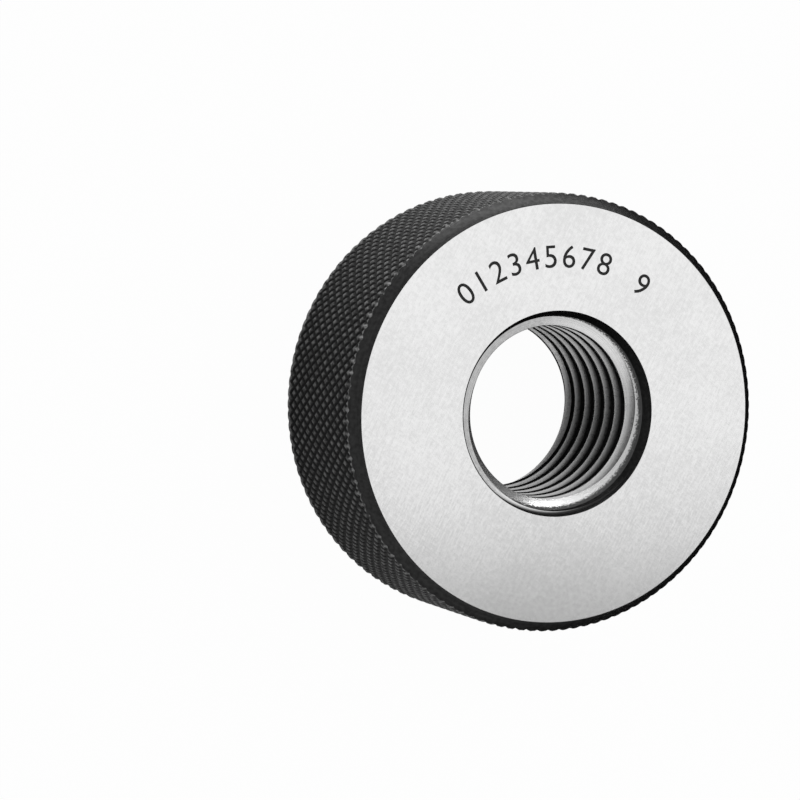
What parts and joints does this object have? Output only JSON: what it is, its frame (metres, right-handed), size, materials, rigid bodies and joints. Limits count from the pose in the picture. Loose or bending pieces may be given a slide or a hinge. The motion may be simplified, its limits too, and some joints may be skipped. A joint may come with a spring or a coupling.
{
  "type": "thread ring gauge",
  "caption": "Solid go thread ring gauge: a thick steel ring with a diamond-knurled grip, ground faces and a right-hand trapezoidal thread through its bore.",
  "frame": {"origin": "centre of the rear ground face, on which the ring lies", "axes": "+Z along the bore axis, from the rear face towards the marked face; +Y towards the top of the marking"},
  "size_m": [0.053, 0.053, 0.024],
  "materials": {
    "tool_steel": "hardened gauge steel: bright ground faces, bore lead and thread; black oxide on the knurl and chamfers"
  },
  "bodies": {
    "root": {"gauge_ring": "tool_steel"}
  },
  "joints": []
}
